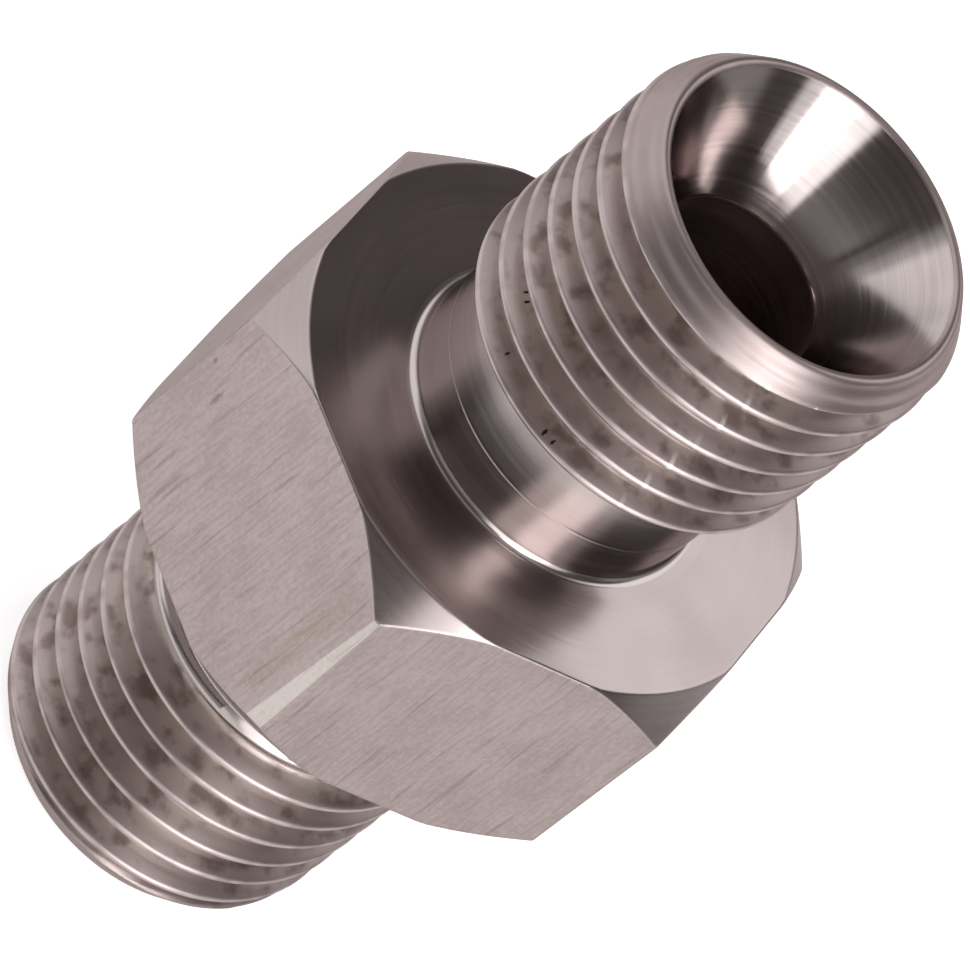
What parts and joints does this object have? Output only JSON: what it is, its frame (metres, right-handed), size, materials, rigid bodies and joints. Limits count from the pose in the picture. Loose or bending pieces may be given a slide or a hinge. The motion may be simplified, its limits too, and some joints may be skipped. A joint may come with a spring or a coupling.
{
  "type": "hose connector",
  "caption": "Turned stainless hose connector with a male pipe thread and a cone seat at each end, a hexagon for a spanner between them, and a bore right through.",
  "frame": {"origin": "centre of the lower rim, on which it stands", "axes": "+Z along the bore, -Y towards the hexagon's worn corner, +X square to a pair of flats"},
  "size_m": [0.019, 0.0219, 0.0379],
  "materials": {
    "steel": "satin turned stainless, drawn grain on the hexagon's flats"
  },
  "bodies": {
    "root": {"connector_body": "steel"}
  },
  "joints": []
}
